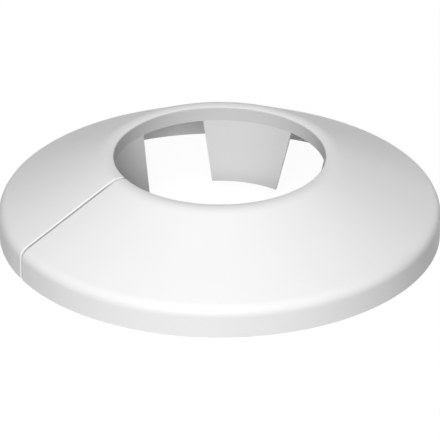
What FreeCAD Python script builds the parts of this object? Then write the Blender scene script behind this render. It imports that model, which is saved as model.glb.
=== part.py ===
import FreeCAD, Part
import Sketcher
import math
import os

# Radiator pipe collar: a one-piece moulded ring that covers the hole round a heating pipe.
# A conical cover with a short upright rim rounds over to its bore. A neck under the bore carries
# spring tongues that lean inwards to grip the pipe, and one slit lets the ring open to pass over it.
# The origin is on the floor in the middle of the bore, +Z runs up the pipe and the slit is at -Y.

NODE = "collar"

# Driving sizes, in millimetres and degrees
SIZES = {
    "outer_diameter": 48.0,
    "overall_height": 9.23,
    "cover_wall": 0.9,
    "cone_slope": 27.9,
    "shoulder_radius": 1.4,
    "inner_shoulder_radius": 0.4,
    "crown_radius": 2.2,
    "crown_inset": 0.65,
    "lip_radius": 0.15,
    "neck_diameter": 22.9,
    "neck_depth": 1.68,
    "neck_wall": 0.6,
    "tongue_count": 4,
    "tongue_root_width": 10.1,
    "tongue_tip_width": 7.35,
    "tongue_tip_diameter": 19.7,
    "tongue_tip_wall": 0.4,
    "tongue_floor_gap": 0.85,
    "slit_width": 0.36,
    "slit_edge_radius": 0.11,
    "cut_overrun": 0.4,
}

# Places that several sketches share, as expressions of the sheet's cells
OUTER_RADIUS = "Sizes.outer_diameter / 2"
NECK_RADIUS = "Sizes.neck_diameter / 2"
CROWN_TOP = f"({NECK_RADIUS} + Sizes.crown_inset)"
NECK_OUTSIDE = f"({NECK_RADIUS} + Sizes.neck_wall)"
NECK_FOOT = "Sizes.overall_height - Sizes.neck_depth"
NECK_TOP = "Sizes.overall_height - Sizes.cover_wall / 2"
TIP_RADIUS = "Sizes.tongue_tip_diameter / 2"
TIP_OUTSIDE = f"({TIP_RADIUS} + Sizes.tongue_tip_wall)"
HALF_PITCH = "180 deg / Sizes.tongue_count"

# Ends of an edge in a sketch, and the sketch's own origin and axes
START, END, CENTRE = range(1, 4)
ORIGIN = (-1, 1)
X_AXIS, Y_AXIS = range(-1, -3, -1)


def make_sheet(doc):
    """Keep the driving sizes in a spreadsheet, one named cell each."""
    sheet = doc.addObject("Spreadsheet::Sheet", "Sizes")
    for row, (name, value) in enumerate(SIZES.items(), start=1):
        sheet.set(f"A{row}", name)
        sheet.set(f"B{row}", str(value))
        sheet.setAlias(f"B{row}", name)
    doc.recompute()


def origin_feature(body, role):
    """Find the body's own origin plane or axis."""
    return next(item for item in body.Origin.OriginFeatures if item.Role == role)


def make_sketch(body, name, role):
    """Attach a new sketch to one of the body's origin planes."""
    sketch = body.newObject("Sketcher::SketchObject", name)
    sketch.AttachmentSupport = [(origin_feature(body, role), "")]
    sketch.MapMode = "FlatFace"
    return sketch


def number(sketch, expression):
    """The value that an expression of the sheet's cells has now."""
    return float(sketch.evalExpression(expression))


def add_line(sketch, start, end):
    """Add a straight edge and return its index."""
    return sketch.addGeometry(Part.LineSegment(FreeCAD.Vector(*start), FreeCAD.Vector(*end)))


def add_arc(sketch, centre, radius, first, last):
    """Add an arc that runs anticlockwise from one angle to another, in degrees."""
    circle = Part.Circle(FreeCAD.Vector(*centre), FreeCAD.Vector(0, 0, 1), radius)
    return sketch.addGeometry(Part.ArcOfCircle(circle, math.radians(first), math.radians(last)))


def add_outline(sketch, points):
    """Add a closed outline of straight edges, where edge n starts at point n."""
    edges = [add_line(sketch, a, b) for a, b in zip(points, points[1:] + points[:1])]
    for edge, following in zip(edges, edges[1:] + edges[:1]):
        relate(sketch, "Coincident", edge, END, following, START)
    return edges


def relate(sketch, kind, *items):
    """Add a relation without a number, such as Tangent or Vertical."""
    sketch.addConstraint(Sketcher.Constraint(kind, *items))


def measure(sketch, kind, items, expression):
    """Add a dimension that follows the sheet."""
    value = number(sketch, expression)
    if kind == "Angle":
        value = math.radians(value)
    index = sketch.addConstraint(Sketcher.Constraint(kind, *items, value))
    sketch.setExpression(f"Constraints[{index}]", expression)


def revolve(body, sketch, name):
    """Turn a half section once round the pipe's axis."""
    feature = body.newObject("PartDesign::Revolution", name)
    feature.Profile = sketch
    feature.ReferenceAxis = (sketch, ["V_Axis"])
    feature.Angle = 360
    return feature


def tongue_ring(body):
    """Revolve the neck with a leaning skirt below it, which the tongues are cut from."""
    sketch = make_sketch(body, "tongue_ring_section", "XZ_Plane")
    bore = number(sketch, NECK_RADIUS)
    outside = number(sketch, NECK_OUTSIDE)
    top = number(sketch, NECK_TOP)
    foot = number(sketch, NECK_FOOT)
    tip = number(sketch, TIP_RADIUS)
    tip_outside = number(sketch, TIP_OUTSIDE)
    lift = SIZES["tongue_floor_gap"]
    points = [(bore, top), (bore, foot), (tip, lift), (tip_outside, lift), (outside, foot), (outside, top)]
    bore_wall, inner_face, tip_face, outer_face, neck_wall, top_face = add_outline(sketch, points)

    relate(sketch, "Vertical", bore_wall)
    relate(sketch, "Vertical", neck_wall)
    relate(sketch, "Horizontal", top_face)
    relate(sketch, "Horizontal", tip_face)
    relate(sketch, "Horizontal", inner_face, START, neck_wall, START)
    measure(sketch, "DistanceX", (*ORIGIN, bore_wall, START), NECK_RADIUS)
    measure(sketch, "DistanceX", (*ORIGIN, neck_wall, START), NECK_OUTSIDE)
    measure(sketch, "DistanceY", (*ORIGIN, top_face, START), NECK_TOP)
    measure(sketch, "DistanceY", (*ORIGIN, inner_face, START), NECK_FOOT)
    measure(sketch, "DistanceX", (*ORIGIN, tip_face, START), TIP_RADIUS)
    measure(sketch, "DistanceX", (*ORIGIN, tip_face, END), TIP_OUTSIDE)
    measure(sketch, "DistanceY", (*ORIGIN, tip_face, START), "Sizes.tongue_floor_gap")
    return revolve(body, sketch, "tongue_ring")


def tongue_gap_half(sketch, side):
    """Outline, to the left or right of a tongue, that runs from its edge to the middle of the gap.

    The sketch looks along the tongue, so both edges of a tongue are cut square to its own middle.
    """
    def across(item, expression):
        ends = (*ORIGIN, *item) if side > 0 else (*item, *ORIGIN)
        measure(sketch, "DistanceX", ends, expression)

    root = "Sizes.tongue_root_width / 2"
    tip = "Sizes.tongue_tip_width / 2"
    root_reach = f"{NECK_OUTSIDE} * sin({HALF_PITCH}) + Sizes.cut_overrun"
    tip_reach = f"{TIP_OUTSIDE} * sin({HALF_PITCH}) + Sizes.cut_overrun"
    foot = number(sketch, NECK_FOOT)
    lift = SIZES["tongue_floor_gap"]
    lean = (number(sketch, root) - number(sketch, tip)) / (foot - lift)
    floor_half = number(sketch, tip) - lean * lift
    points = [
        (side * number(sketch, root), foot),
        (side * number(sketch, root_reach), foot),
        (side * number(sketch, tip_reach), 0),
        (side * floor_half, 0),
    ]
    neck_edge, middle_edge, floor_edge, tongue_edge = add_outline(sketch, points)
    corner = sketch.addGeometry(Part.Point(FreeCAD.Vector(side * number(sketch, tip), lift, 0)), True)

    relate(sketch, "Horizontal", neck_edge)
    relate(sketch, "Horizontal", floor_edge)
    relate(sketch, "PointOnObject", floor_edge, START, X_AXIS)
    relate(sketch, "PointOnObject", corner, START, tongue_edge)
    measure(sketch, "DistanceY", (*ORIGIN, neck_edge, START), NECK_FOOT)
    measure(sketch, "DistanceY", (*ORIGIN, corner, START), "Sizes.tongue_floor_gap")
    across((neck_edge, START), root)
    across((corner, START), tip)
    across((middle_edge, START), root_reach)
    across((middle_edge, END), tip_reach)


def tongue_gaps(body):
    """Cut the skirt beside one tongue, then repeat the cut for each tongue round the bore."""
    sketch = make_sketch(body, "tongue_gap_outline", "XZ_Plane")
    turn = FreeCAD.Rotation(FreeCAD.Vector(0, 1, 0), 1)
    sketch.AttachmentOffset = FreeCAD.Placement(FreeCAD.Vector(), turn)
    sketch.setExpression("AttachmentOffset.Rotation.Angle", HALF_PITCH)
    for side in (1, -1):
        tongue_gap_half(sketch, side)

    cut = body.newObject("PartDesign::Pocket", "tongue_gap")
    cut.Profile = sketch
    cut.Type = "Length"
    cut.Reversed = True
    cut.setExpression("Length", f"{NECK_OUTSIDE} + Sizes.cut_overrun")

    pattern = body.newObject("PartDesign::PolarPattern", "tongue_gaps")
    pattern.Originals = [cut]
    pattern.Axis = (origin_feature(body, "Z_Axis"), [""])
    pattern.Angle = 360
    pattern.setExpression("Occurrences", "Sizes.tongue_count")
    body.Tip = pattern
    return pattern


def cover(body):
    """Revolve the conical cover: foot, rim, shoulder, cone, crown and lip, with an even wall."""
    sketch = make_sketch(body, "cover_section", "XZ_Plane")
    outer = number(sketch, OUTER_RADIUS)
    bore = number(sketch, NECK_RADIUS)
    crown_top = number(sketch, CROWN_TOP)
    height = SIZES["overall_height"]
    wall = SIZES["cover_wall"]
    lip = SIZES["lip_radius"]
    crown = SIZES["crown_radius"]
    shoulder = SIZES["shoulder_radius"]
    inner_shoulder = SIZES["inner_shoulder_radius"]
    slope = math.radians(SIZES["cone_slope"])
    steep = 90 - SIZES["cone_slope"]

    # The cone's outer line is where a point's height across the slope equals this
    crown_centre = (crown_top, height - crown)
    cone_level = crown_centre[0] * math.sin(slope) + crown_centre[1] * math.cos(slope) + crown

    def corner_centre(upright, level, radius):
        x = upright - radius
        return (x, (level - radius - x * math.sin(slope)) / math.cos(slope))

    def on_slope(centre, radius):
        return (centre[0] + radius * math.sin(slope), centre[1] + radius * math.cos(slope))

    # Past its top the crown falls by this angle, and there the lip turns down into the bore
    fall = math.asin((crown_top - bore - lip) / (crown - lip))
    past_top = 90 + math.degrees(fall)
    lip_centre = (bore + lip, crown_centre[1] + (crown - lip) * math.cos(fall))

    shoulder_centre = corner_centre(outer, cone_level, shoulder)
    inner_centre = corner_centre(outer - wall, cone_level - wall, inner_shoulder)

    foot = add_line(sketch, (outer - wall, 0), (outer, 0))
    rim = add_line(sketch, (outer, 0), (outer, shoulder_centre[1]))
    shoulder_arc = add_arc(sketch, shoulder_centre, shoulder, 0, steep)
    cone = add_line(sketch, on_slope(shoulder_centre, shoulder), on_slope(crown_centre, crown))
    crown_arc = add_arc(sketch, crown_centre, crown, steep, past_top)
    lip_arc = add_arc(sketch, lip_centre, lip, past_top, 180)
    bore_wall = add_line(sketch, (bore, lip_centre[1]), (bore, height - wall))
    landing = add_line(sketch, (bore, height - wall), (crown_top, height - wall))
    inner_crown = add_arc(sketch, crown_centre, crown - wall, steep, 90)
    cone_top = on_slope(crown_centre, crown - wall)
    inner_cone = add_line(sketch, cone_top, on_slope(inner_centre, inner_shoulder))
    inner_arc = add_arc(sketch, inner_centre, inner_shoulder, 0, steep)
    inner_rim = add_line(sketch, (outer - wall, inner_centre[1]), (outer - wall, 0))

    relate(sketch, "Coincident", foot, END, rim, START)
    relate(sketch, "Tangent", rim, END, shoulder_arc, START)
    relate(sketch, "Tangent", shoulder_arc, END, cone, START)
    relate(sketch, "Tangent", cone, END, crown_arc, START)
    relate(sketch, "Tangent", crown_arc, END, lip_arc, START)
    relate(sketch, "Tangent", lip_arc, END, bore_wall, START)
    relate(sketch, "Coincident", bore_wall, END, landing, START)
    relate(sketch, "Coincident", landing, END, inner_crown, END)
    relate(sketch, "Tangent", inner_crown, START, inner_cone, START)
    relate(sketch, "Tangent", inner_cone, END, inner_arc, END)
    relate(sketch, "Tangent", inner_arc, START, inner_rim, START)
    relate(sketch, "Coincident", inner_rim, END, foot, START)
    relate(sketch, "PointOnObject", foot, START, X_AXIS)
    relate(sketch, "Horizontal", foot)
    relate(sketch, "Horizontal", landing)
    relate(sketch, "Vertical", rim)
    relate(sketch, "Vertical", bore_wall)
    relate(sketch, "Vertical", inner_rim)
    relate(sketch, "Vertical", inner_crown, CENTRE, inner_crown, END)
    relate(sketch, "Coincident", inner_crown, CENTRE, crown_arc, CENTRE)
    relate(sketch, "Parallel", inner_cone, cone)
    measure(sketch, "DistanceX", (*ORIGIN, foot, END), OUTER_RADIUS)
    measure(sketch, "DistanceX", (foot, START, foot, END), "Sizes.cover_wall")
    measure(sketch, "DistanceX", (*ORIGIN, bore_wall, START), NECK_RADIUS)
    measure(sketch, "DistanceX", (*ORIGIN, crown_arc, CENTRE), CROWN_TOP)
    measure(sketch, "DistanceY", (*ORIGIN, crown_arc, CENTRE), "Sizes.overall_height - Sizes.crown_radius")
    measure(sketch, "Radius", (shoulder_arc,), "Sizes.shoulder_radius")
    measure(sketch, "Radius", (inner_arc,), "Sizes.inner_shoulder_radius")
    measure(sketch, "Radius", (crown_arc,), "Sizes.crown_radius")
    measure(sketch, "Radius", (inner_crown,), "Sizes.crown_radius - Sizes.cover_wall")
    measure(sketch, "Radius", (lip_arc,), "Sizes.lip_radius")
    measure(sketch, "Angle", (cone, END, X_AXIS, START), "Sizes.cone_slope")
    return revolve(body, sketch, "cover")


def slit(body):
    """Split the ring from its bore out through the rim, in the middle of a gap between tongues."""
    sketch = make_sketch(body, "slit_outline", "XY_Plane")
    outer_end = f"{OUTER_RADIUS} + Sizes.cut_overrun"
    inner_end = f"{NECK_RADIUS} - Sizes.cut_overrun"
    half = SIZES["slit_width"] / 2
    far = -number(sketch, outer_end)
    near = -number(sketch, inner_end)
    points = [(-half, far), (half, far), (half, near), (-half, near)]
    far_edge, right, near_edge, left = add_outline(sketch, points)

    relate(sketch, "Symmetric", far_edge, START, far_edge, END, Y_AXIS)
    relate(sketch, "Horizontal", near_edge)
    relate(sketch, "Vertical", right)
    relate(sketch, "Vertical", left)
    measure(sketch, "DistanceX", (far_edge, START, far_edge, END), "Sizes.slit_width")
    measure(sketch, "DistanceY", (far_edge, START, *ORIGIN), outer_end)
    measure(sketch, "DistanceY", (near_edge, START, *ORIGIN), inner_end)

    cut = body.newObject("PartDesign::Pocket", "slit")
    cut.Profile = sketch
    cut.Type = "ThroughAll"
    cut.Reversed = True
    return cut


def slit_edges(body, cut):
    """Round the slit's outer edges. Each round starts up the rim and runs on over the cone to the bore."""
    rim = SIZES["outer_diameter"] / 2
    half = SIZES["slit_width"] / 2

    def at_rim_corner(vertex):
        on_rim = math.isclose(math.hypot(vertex.X, vertex.Y), rim, rel_tol=1e-6)
        return on_rim and math.isclose(abs(vertex.X), half, rel_tol=1e-6)

    def up_the_rim(edge):
        return edge.Curve.TypeId == "Part::GeomLine" and all(map(at_rim_corner, edge.Vertexes))

    upright = [f"Edge{index}" for index, edge in enumerate(cut.Shape.Edges, start=1) if up_the_rim(edge)]
    feature = body.newObject("PartDesign::Fillet", "slit_edges")
    feature.Base = (cut, upright)
    feature.setExpression("Radius", "Sizes.slit_edge_radius")
    return feature


def check(doc, body, grown, trimmed):
    """Stop if a feature failed, a cut missed the solid or the finished shape isn't one valid solid."""
    for item in doc.Objects:
        if "Invalid" in item.State or "Error" in item.State:
            raise RuntimeError(f"{item.Name} failed: {item.State}")
    for before, after in trimmed:
        if after.Shape.Volume >= before.Shape.Volume:
            raise RuntimeError(f"{after.Name} cuts nothing")
    for before, after in grown:
        if after.Shape.Volume <= before.Shape.Volume:
            raise RuntimeError(f"{after.Name} adds nothing")
    if body.Shape.isNull() or not body.Shape.isValid() or len(body.Shape.Solids) != 1:
        raise RuntimeError(f"{body.Label} is not one valid solid")


def main():
    doc = FreeCAD.newDocument("radiator_pipe_collar")
    make_sheet(doc)
    body = doc.addObject("PartDesign::Body", NODE)
    body.Label = NODE
    body.Placement = FreeCAD.Placement()

    ring = tongue_ring(body)
    doc.recompute()
    gaps = tongue_gaps(body)
    doc.recompute()
    shell = cover(body)
    doc.recompute()
    split = slit(body)
    doc.recompute()
    rounded = slit_edges(body, split)
    doc.recompute()

    check(doc, body, grown=[(gaps, shell)], trimmed=[(ring, gaps), (shell, split), (split, rounded)])
    os.makedirs("parts", exist_ok=True)
    body.Shape.exportStep(f"parts/{NODE}.step")
    print(f"{NODE}: {body.Shape.Volume:.2f} mm3, box {body.Shape.BoundBox}")


main()
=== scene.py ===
import math

import bpy
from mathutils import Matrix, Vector


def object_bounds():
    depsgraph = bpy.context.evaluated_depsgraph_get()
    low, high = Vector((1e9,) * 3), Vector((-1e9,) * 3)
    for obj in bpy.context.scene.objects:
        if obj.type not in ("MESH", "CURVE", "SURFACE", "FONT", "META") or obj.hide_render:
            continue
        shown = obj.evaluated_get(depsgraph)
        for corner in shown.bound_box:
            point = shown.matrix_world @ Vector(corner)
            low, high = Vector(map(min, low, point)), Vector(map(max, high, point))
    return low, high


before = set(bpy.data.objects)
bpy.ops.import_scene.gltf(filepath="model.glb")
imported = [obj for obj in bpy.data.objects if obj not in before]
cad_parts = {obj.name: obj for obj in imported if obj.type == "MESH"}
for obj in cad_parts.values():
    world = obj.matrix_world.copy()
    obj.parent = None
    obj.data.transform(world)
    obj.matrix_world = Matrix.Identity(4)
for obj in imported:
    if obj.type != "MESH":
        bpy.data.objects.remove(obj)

cad_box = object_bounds()

# The photograph's camera, in degrees and metres. Azimuth 0 is on the slit's side, at -Y, and the lens
# shift is a share of the frame
VIEW_AZIMUTH = 62.0
VIEW_ELEVATION = 28.02
VIEW_DISTANCE = 0.49382
VIEW_HEIGHT = 0.001155
LENS_MM = 371.0
SENSOR_MM = 36.0
LENS_SHIFT = 0.0007
NEAREST_SEEN = 0.01

# Soft panels round the collar: degrees to the right of the camera, degrees up, width and height in
# metres, level. At level 1 a surface that faces the panel renders about as its colour is written
PANELS = {
    "front_panel": (-8, 28.5, 0.63, 0.32, 0.92),
    "top_panel": (0, 76, 0.63, 0.63, 0.4),
    "edge_panel": (140, 8, 0.63, 0.2, 0.1),
}
PANEL_DISTANCE = 0.9
ROOM_LEVEL = 0.02
ROOM_WHITE = 1.0
WHITE = (1.0, 1.0, 1.0, 1.0)

# The floor as it lights the collar, then as it is seen: a matt grey that takes shadow, and a white glow
FLOOR_SIZE = 4.0
FLOOR_BOUNCE = (0.15, 0.15, 0.15, 1.0)
FLOOR_GLOW = 0.12
FLOOR_SHADOW = (0.09, 0.09, 0.09, 1.0)
FLOOR_WHITE = 0.94

# Colours of the white plastic: the cover's two shades where the melt flowed, then painted shade on the
# bore's inner faces and deep in the slit
COVER_PALE = (0.851, 0.849, 0.847, 1.0)
COVER_DEEP = (0.836, 0.834, 0.831, 1.0)
BORE_PAINTED_SHADE = (0.606, 0.605, 0.603, 1.0)
SLIT_PAINTED_SHADE = (0.46, 0.459, 0.457, 1.0)

# Where the bore's painted shade and rougher finish fade in: metres from the pipe's axis, and how far a face
# looks away from it
BORE_REACH = (0.01156, 0.01147)
BORE_FACING = (0.1, -0.1)

# Where the slit's painted shade fades in: metres from the slit's middle, along Y and below the outer face
SLIT_REACH = (0.000188, 0.000181)
SLIT_SIDE = (0.0, -0.005)
SLIT_DEPTH = (0.00014, 0.0002)

# That outer face, in metres: where the cone's line meets the axis, and the roundings at its two ends
CONE_SLOPE = math.radians(27.9)
CONE_TOP = 0.015923
CROWN_BLEND = 0.0012
SHOULDER_BLEND = 0.0014
RIM_RADIUS = cad_box[1][0]
CROWN_HEIGHT = cad_box[1][2]

# The plastic's gloss and detail. A noise is its scale per metre and its detail
PLASTIC_IOR = 1.49
PLASTIC_SPECULAR = 0.2
COVER_ROUGHNESS = (0.4, 0.48)
BORE_DULLNESS = 0.15
FLOW_NOISE = (130.0, 2.0)
SHEEN_NOISE = (460.0, 3.0)
GRAIN_NOISE = (5200.0, 2.0)
GRAIN_HEIGHT = 0.000002
GRAIN_STRENGTH = 0.3
NOISE_MIDDLE = (0.3, 0.7)


def place_round_collar(azimuth, elevation, distance, height=0.0):
    """The point this far from the collar's axis at an azimuth and elevation."""
    turn = math.radians(azimuth)
    rise = math.radians(elevation)
    flat = distance * math.cos(rise)
    return Vector((flat * math.sin(turn), -flat * math.cos(turn), height + distance * math.sin(rise)))


def put_in_scene(name, data, place, target):
    """Add a lamp or camera that stands at a place and points at a target."""
    thing = bpy.data.objects.new(name, data)
    bpy.context.scene.collection.objects.link(thing)
    thing.location = place
    thing.rotation_euler = (target - place).to_track_quat("-Z", "Y").to_euler()
    return thing


def add_camera():
    lens = bpy.data.cameras.new("photo_camera")
    lens.sensor_width = SENSOR_MM
    lens.lens = LENS_MM
    lens.shift_x = LENS_SHIFT
    lens.clip_start = NEAREST_SEEN
    target = Vector((0.0, 0.0, VIEW_HEIGHT))
    place = place_round_collar(VIEW_AZIMUTH, VIEW_ELEVATION, VIEW_DISTANCE, VIEW_HEIGHT)
    bpy.context.scene.camera = put_in_scene("photo_camera", lens, place, target)


def add_panels():
    for name, (turn, rise, width, height, level) in PANELS.items():
        light = bpy.data.lights.new(name, "AREA")
        light.shape = "RECTANGLE"
        light.size = width
        light.size_y = height
        light.energy = level * (math.pi * PANEL_DISTANCE) ** 2
        place = place_round_collar(VIEW_AZIMUTH + turn, rise, PANEL_DISTANCE)
        lamp = put_in_scene(name, light, place, Vector())
        lamp.visible_camera = False


def feed(tree, socket, source):
    """Give a socket a number or colour, or link it to another node's output."""
    if isinstance(source, bpy.types.NodeSocket):
        tree.links.new(source, socket)
    else:
        socket.default_value = source


def add_step(tree, kind, operation, *sources):
    """Add a Math or Vector Math node that works on numbers, vectors or other nodes' outputs."""
    step = tree.nodes.new(kind)
    step.operation = operation
    for socket, source in zip(step.inputs, sources):
        feed(tree, socket, source)
    return step.outputs


def number_step(tree, operation, *sources):
    return add_step(tree, "ShaderNodeMath", operation, *sources)["Value"]


def vector_step(tree, operation, *sources):
    return add_step(tree, "ShaderNodeVectorMath", operation, *sources)


def seen_directly(tree):
    """A mask that is 1 for what the camera, a reflection or a clear part sees, and 0 for bounced light."""
    path = tree.nodes.new("ShaderNodeLightPath")
    mask = path.outputs["Is Camera Ray"]
    for ray in ("Is Glossy Ray", "Is Transmission Ray"):
        mask = number_step(tree, "MAXIMUM", mask, path.outputs[ray])
    return mask


def show(tree, output_kind, lighting, seen):
    """Use one shader for the light that it gives and another for how it is seen."""
    choice = tree.nodes.new("ShaderNodeMixShader")
    output = tree.nodes.new(output_kind)
    feed(tree, choice.inputs["Fac"], seen_directly(tree))
    feed(tree, choice.inputs[1], lighting)
    feed(tree, choice.inputs[2], seen)
    feed(tree, output.inputs["Surface"], choice.outputs["Shader"])


def even_light(tree, strength):
    light = tree.nodes.new("ShaderNodeBackground")
    light.inputs["Color"].default_value = WHITE
    light.inputs["Strength"].default_value = strength
    return light.outputs["Background"]


def light_room():
    """A dim even room that is seen as white."""
    world = bpy.data.worlds.new("white_room")
    bpy.context.scene.world = world
    world.use_nodes = True
    tree = world.node_tree
    tree.nodes.clear()
    show(tree, "ShaderNodeOutputWorld", even_light(tree, ROOM_LEVEL), even_light(tree, ROOM_WHITE))


def matt_with_glow(tree, grey, strength):
    """A matt grey that also glows evenly in white."""
    matt = tree.nodes.new("ShaderNodeBsdfDiffuse")
    matt.inputs["Color"].default_value = grey
    glow = tree.nodes.new("ShaderNodeEmission")
    glow.inputs["Color"].default_value = WHITE
    glow.inputs["Strength"].default_value = strength
    both = tree.nodes.new("ShaderNodeAddShader")
    feed(tree, both.inputs[0], matt.outputs["BSDF"])
    feed(tree, both.inputs[1], glow.outputs["Emission"])
    return both.outputs["Shader"]


def floor_finish():
    """Softly lit pale table that is seen as white and keeps a faint shadow."""
    finish = bpy.data.materials.new("pale_floor")
    finish.use_nodes = True
    tree = finish.node_tree
    tree.nodes.clear()
    lighting = matt_with_glow(tree, FLOOR_BOUNCE, FLOOR_GLOW)
    seen = matt_with_glow(tree, FLOOR_SHADOW, FLOOR_WHITE)
    show(tree, "ShaderNodeOutputMaterial", lighting, seen)
    return finish


def add_floor():
    bpy.ops.object.select_all(action="DESELECT")
    bpy.ops.mesh.primitive_plane_add(size=FLOOR_SIZE)
    floor = bpy.context.object
    floor.name = "floor"
    floor.data.materials.append(floor_finish())


def add_noise(tree, places, scale, detail):
    noise = tree.nodes.new("ShaderNodeTexNoise")
    noise.inputs["Scale"].default_value = scale
    noise.inputs["Detail"].default_value = detail
    feed(tree, noise.inputs["Vector"], places)
    return noise.outputs["Fac"]


def ramp(tree, value, start, stop, first=0.0, last=1.0):
    """Run from the first number to the last as a value goes from start to stop."""
    stretch = tree.nodes.new("ShaderNodeMapRange")
    stretch.inputs["From Min"].default_value = start
    stretch.inputs["From Max"].default_value = stop
    stretch.inputs["To Min"].default_value = first
    stretch.inputs["To Max"].default_value = last
    feed(tree, stretch.inputs["Value"], value)
    return stretch.outputs["Result"]


def painted_shade_bore_faces(tree, coords):
    """A mask that is 1 on the inner faces of the neck and the tongues, where the wall is thin, for painted
    shade and a rougher finish there.
    """
    flat = vector_step(tree, "MULTIPLY", coords["Object"], (1.0, 1.0, 0.0))["Vector"]
    near = ramp(tree, vector_step(tree, "LENGTH", flat)["Value"], *BORE_REACH)
    outwards = vector_step(tree, "NORMALIZE", flat)["Vector"]
    facing = vector_step(tree, "DOT_PRODUCT", outwards, coords["Normal"])["Value"]
    return number_step(tree, "MULTIPLY", near, ramp(tree, facing, *BORE_FACING))


def depth_below(tree, places, inwards, distance):
    """How far a place lies below a flat face that stands this far from the origin."""
    along = vector_step(tree, "DOT_PRODUCT", places, inwards)["Value"]
    return number_step(tree, "ADD", along, distance)


def slit_shade_depths(tree, places):
    """A mask for painted shade that is 1 deep on the two walls of the slit, which is at -Y, and 0 near the
    outer face.
    """
    along = tree.nodes.new("ShaderNodeSeparateXYZ")
    feed(tree, along.inputs["Vector"], places)
    beside = ramp(tree, number_step(tree, "ABSOLUTE", along.outputs["X"]), *SLIT_REACH)
    walls = number_step(tree, "MULTIPLY", beside, ramp(tree, along.outputs["Y"], *SLIT_SIDE))
    lean = math.cos(CONE_SLOPE)
    cone = depth_below(tree, places, (0.0, math.sin(CONE_SLOPE), -lean), CONE_TOP * lean)
    crown = depth_below(tree, places, (0.0, 0.0, -1.0), CROWN_HEIGHT)
    rim = depth_below(tree, places, (0.0, 1.0, 0.0), RIM_RADIUS)
    cover = number_step(tree, "SMOOTH_MIN", cone, crown, CROWN_BLEND)
    depth = number_step(tree, "SMOOTH_MIN", cover, rim, SHOULDER_BLEND)
    return number_step(tree, "MULTIPLY", walls, ramp(tree, depth, *SLIT_DEPTH))


def mix_colours(tree, mask, first, second):
    """The first colour where the mask is 0 and the second where it is 1."""
    mix = tree.nodes.new("ShaderNodeMix")
    mix.data_type = "RGBA"
    feed(tree, mix.inputs[0], mask)
    feed(tree, mix.inputs[6], first)
    feed(tree, mix.inputs[7], second)
    return mix.outputs[2]


def white_plastic():
    """Satin moulded plastic with painted shade on the bore's thin inner faces, which are also rougher,
    painted shade deep in the slit, a slightly uneven sheen and a fine grain.
    """
    finish = bpy.data.materials.new("white_plastic")
    finish.use_nodes = True
    tree = finish.node_tree
    shader = tree.nodes["Principled BSDF"]
    shader.inputs["IOR"].default_value = PLASTIC_IOR
    shader.inputs["Specular IOR Level"].default_value = PLASTIC_SPECULAR
    coords = tree.nodes.new("ShaderNodeTexCoord").outputs
    places = coords["Object"]
    bore = painted_shade_bore_faces(tree, coords)

    flow = ramp(tree, add_noise(tree, places, *FLOW_NOISE), *NOISE_MIDDLE)
    cover_colour = mix_colours(tree, flow, COVER_DEEP, COVER_PALE)
    # Painted shade on the inner faces of the neck and the tongues: a darker colour there
    colour_with_bore_shade = mix_colours(tree, bore, cover_colour, BORE_PAINTED_SHADE)
    # Painted shade deep in the slit: a darker colour on its walls
    all_colours = mix_colours(tree, slit_shade_depths(tree, places), colour_with_bore_shade, SLIT_PAINTED_SHADE)
    feed(tree, shader.inputs["Base Color"], all_colours)

    sheen = ramp(tree, add_noise(tree, places, *SHEEN_NOISE), *NOISE_MIDDLE, *COVER_ROUGHNESS)
    dulled = number_step(tree, "MULTIPLY_ADD", bore, BORE_DULLNESS, sheen)
    feed(tree, shader.inputs["Roughness"], dulled)

    grain = tree.nodes.new("ShaderNodeBump")
    grain.inputs["Strength"].default_value = GRAIN_STRENGTH
    grain.inputs["Distance"].default_value = GRAIN_HEIGHT
    feed(tree, grain.inputs["Height"], add_noise(tree, places, *GRAIN_NOISE))
    feed(tree, shader.inputs["Normal"], grain.outputs["Normal"])
    return finish


bpy.context.scene.view_settings.view_transform = "Standard"
add_camera()
add_panels()
light_room()
add_floor()
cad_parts["collar"].material_slots[0].material = white_plastic()
